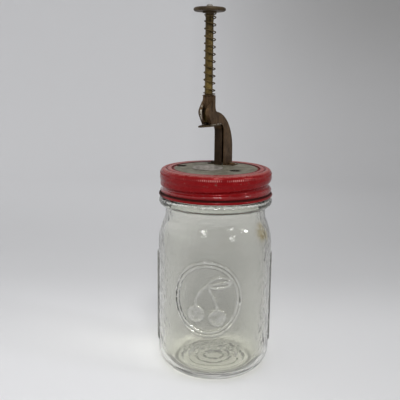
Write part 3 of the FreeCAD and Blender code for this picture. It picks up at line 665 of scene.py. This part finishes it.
def band_outline():
    """The band's section: round its curl, up the skirt, over the top and down the inside."""
    wire = Outline(35.55, 116.3)
    wire.arc(36.5, 117.25, (35.55, 117.25), 8).arc(35.55, 118.2, (35.55, 117.25), 8)
    wire.line(35.0, 118.35).line(35.0, 118.9).line(35.5, 119.3, 2).line(35.5, 131.1, 46)
    # Shoulder, and the top with its pressed ring.
    wire.arc(33.1, 133.5, (33.1, 131.1), 12).line(32.0, 133.5)
    wire.line(31.65, 133.1).line(31.35, 133.1).line(31.0, 133.5)
    wire.line(28.55, 133.5, 2).arc(28.55, 133.0, (28.55, 133.25), 8)
    # Inside.
    wire.line(33.1, 132.95, 3).arc(34.95, 131.1, (33.1, 131.1), 8).line(34.9, 117.25, 22)
    wire.arc(35.55, 116.6, (35.55, 117.25), 6).arc(35.55, 116.3, (35.55, 116.45), 2)
    return wire


def make_band():
    mesh = band_outline().turned(BAND_STEPS)
    for vert in mesh.verts:
        radius, bearing, level = polar(vert.co)
        move = 0
        if level > SKIRT_LOW and radius > SKIRT_RADIUS:
            move = sum(height * ridge(level - middle, half) for middle, half, height in BEADS)
            waist = max(0, math.cos(bearing))
            depth = BAND_THREAD_OUTSIDE if radius > SKIRT_MIDDLE else BAND_THREAD_INSIDE
            depth += WAIST_DEPTH * waist
            half = BAND_THREAD_HALF + WAIST_HALF * waist
            move -= depth * on_thread(BAND_THREAD, bearing, level, half)
        if radius > KNURL_RADIUS:
            tick = 0.5 + 0.5 * math.cos(KNURLS * bearing)
            move += KNURL_HEIGHT * tick * ridge(level - KNURL_LEVEL, KNURL_HALF)
        vert.co.xy *= (radius + move) / radius
    finished("enamel_band", mesh, "band", red_enamel(), "screw_band", sharp=50)


def make_seat(material):
    """The dished seat, with a rolled lip and a round edge to its hole."""
    wire = Outline(4.6, 129.1).arc(8.2, 133.0, (0.9, 136.1), 10).line(8.6, 133.3).line(9.6, 133.3)
    wire.arc(9.9, 133.55, (9.65, 133.55), 4).arc(9.65, 133.8, (9.65, 133.55), 4)
    wire.line(8.3, 133.8).arc(7.75, 133.45, (8.3, 133.1), 4).arc(4.6, 129.6, (0.9, 136.1), 10)
    wire.arc(4.6, 129.1, (4.6, 129.35), 6)
    mesh = wire.turned(SMALL_STEPS, PLUNGER)
    finished("dished_seat", mesh, "lid", material, "fruit_seat")


def make_washer(material):
    """The washer on the neck, with a round rim."""
    wire = Outline(2.95, 179.2).line(4.0, 179.2).arc(4.0, 179.8, (4.0, 179.5), 8)
    wire.line(3.15, 179.8).arc(2.95, 179.6, (3.15, 179.6), 4).line(2.95, 179.2)
    mesh = wire.turned(SMALL_STEPS, PLUNGER)
    finished("neck_washer", mesh, "lid", material, "spring_washer")


def make_spring(material):
    """One wire wound to the left: close end turns, open turns between them."""
    mesh = bmesh.new()
    low = SPRING_LOW + COIL_PLAY + WIRE_RADIUS
    high = SPRING_HIGH - COIL_PLAY - WIRE_RADIUS
    rim = bmesh.ops.create_circle(mesh, cap_ends=True, segments=WIRE_SIDES, radius=WIRE_RADIUS)
    upright = Matrix.Rotation(math.pi / 2, 3, "X")
    bmesh.ops.rotate(mesh, matrix=upright, verts=rim["verts"])
    bmesh.ops.translate(mesh, vec=(COIL_RADIUS, 0, low), verts=rim["verts"])
    end_rise = END_TURNS * END_PITCH
    open_rise = high - low - 2 * end_rise
    front = mesh.faces[:]
    for turns, rise in ((END_TURNS, end_rise), (OPEN_TURNS, open_rise), (END_TURNS, end_rise)):
        steps = round(turns * COIL_STEPS)
        made = bmesh.ops.spin(mesh, geom=front, cent=(0, 0, 0), axis=(0, 0, -1),
                              angle=turns * math.tau, steps=steps, dvec=(0, 0, rise / steps))
        front = [item for item in made["geom_last"] if isinstance(item, bmesh.types.BMFace)]
    bmesh.ops.remove_doubles(mesh, verts=mesh.verts, dist=WELD)
    bmesh.ops.recalc_face_normals(mesh, faces=mesh.faces)
    bmesh.ops.translate(mesh, vec=(PLUNGER[0] + SPRING_LEAN, PLUNGER[1], 0), verts=mesh.verts)
    spring = finished("coil_spring", mesh, "plunger", material, "return_spring",
                      sharp=60)
    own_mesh(spring)


def dress(node, material):
    """Give a CAD node its finish, and break its edges."""
    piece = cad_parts[node]
    for slot in piece.material_slots:
        slot.material = material
    weld = piece.modifiers.new("weld", "WELD")
    weld.merge_threshold = NODE_WELD * MM
    bevel = piece.modifiers.new("broken_edges", "BEVEL")
    bevel.width = EDGE_WIDTH * MM
    bevel.segments = 2
    bevel.limit_method = "ANGLE"
    bevel.angle_limit = math.radians(EDGE_ANGLE)


def make_metal():
    """Finish the CAD nodes of the lid and plunger, and make their seat, washer and spring."""
    dull_tin = aged_metal(
        "dull_tin", colour(0.11, 0.10, 0.072), colour(0.24, 0.225, 0.175),
        colour(0.045, 0.034, 0.022), metallic=0.4, roughness=0.52, spots=0.64, marks=plate_marks)
    rubbed_tin = aged_metal(
        "rubbed_tin", colour(0.15, 0.135, 0.115), colour(0.32, 0.295, 0.27),
        colour(0.09, 0.07, 0.055), metallic=0.3, roughness=0.58, spots=0.7)
    brown_steel = aged_metal(
        "brown_steel", colour(0.036, 0.020, 0.009), colour(0.112, 0.066, 0.031),
        colour(0.020, 0.011, 0.005), metallic=0.3, roughness=0.42, grain=(1, 1, 0.25),
        marks=arm_marks)
    dark_steel = aged_metal(
        "dark_steel", colour(0.032, 0.021, 0.011), colour(0.092, 0.064, 0.035),
        colour(0.016, 0.010, 0.006), metallic=0.4, roughness=0.4, spots=0.62)
    dull_brass = aged_metal(
        "dull_brass", colour(0.052, 0.033, 0.008), colour(0.152, 0.104, 0.030),
        colour(0.022, 0.014, 0.006), metallic=0.5, roughness=0.38, grain=(1, 1, 0.5),
        marks=rod_marks)
    dark_wire = aged_metal(
        "dark_wire", colour(0.048, 0.031, 0.012), colour(0.130, 0.088, 0.034),
        colour(0.016, 0.010, 0.006), metallic=0.5, roughness=0.42)
    dress("lid_plate", dull_tin)
    dress("arm", brown_steel)
    dress("foot_rivets", brown_steel)
    dress("guide_sleeve", dull_brass)
    dress("stripper_plate", dark_steel)
    dress("plunger_rod", dull_brass)
    dress("button_collar", dark_steel)
    dress("thumb_button", dark_steel)
    dress("button_rivet", rubbed_tin)
    dress("jar_gasket", gasket_rubber())
    make_seat(rubbed_tin)
    make_washer(brown_steel)
    make_spring(dark_wire)


def make_stage():
    """A round of pale cloth that lies flat under the jar and rises all round far from it."""
    wire = Outline(0, 0).line(700, 0, 7).arc(1200, 500, (700, 500), 16).line(1200, 1500, 4)
    mesh = wire.turned(SMALL_STEPS)
    bmesh.ops.reverse_faces(mesh, faces=mesh.faces)
    placed("cloth", mesh, pale_cloth())


def add_lamp(name, bearing, elevation, distance, width, height, power):
    """A soft box that looks at the middle of the object."""
    data = bpy.data.lights.new(name, "AREA")
    data.shape = "RECTANGLE"
    data.size, data.size_y = width, height
    data.energy = power
    lamp = bpy.data.objects.new(name, data)
    bpy.context.scene.collection.objects.link(lamp)
    turn, rise = math.radians(bearing), math.radians(elevation)
    away = Vector((math.sin(turn) * math.cos(rise), -math.cos(turn) * math.cos(rise),
                   math.sin(rise)))
    lamp.location = Vector(LAMP_AIM) + away * distance
    lamp.rotation_euler = away.to_track_quat("Z", "Y").to_euler()


def make_light():
    world = bpy.data.worlds.new("room")
    world.use_nodes = True
    background = world.node_tree.nodes["Background"]
    background.inputs["Color"].default_value = WHITE
    background.inputs["Strength"].default_value = ROOM_LIGHT
    bpy.context.scene.world = world
    for lamp in LAMPS:
        add_lamp(*lamp)


def make_camera():
    data = bpy.data.cameras.new("camera")
    data.sensor_width = SENSOR_WIDTH
    data.lens = FOCAL_PIXELS / FRAME_PIXELS * SENSOR_WIDTH
    camera = bpy.data.objects.new("camera", data)
    bpy.context.scene.collection.objects.link(camera)
    camera.matrix_world = (Matrix.Translation(Vector(CAMERA_PLACE) * MM)
                           @ Matrix.Rotation(math.radians(90 - CAMERA_PITCH), 4, "X")
                           @ Matrix.Rotation(math.radians(CAMERA_ROLL), 4, "Z"))
    bpy.context.scene.camera = camera


make_camera()
make_jar()
make_band()
make_metal()
make_stage()
make_light()
bpy.context.scene.view_settings.view_transform = "Standard"
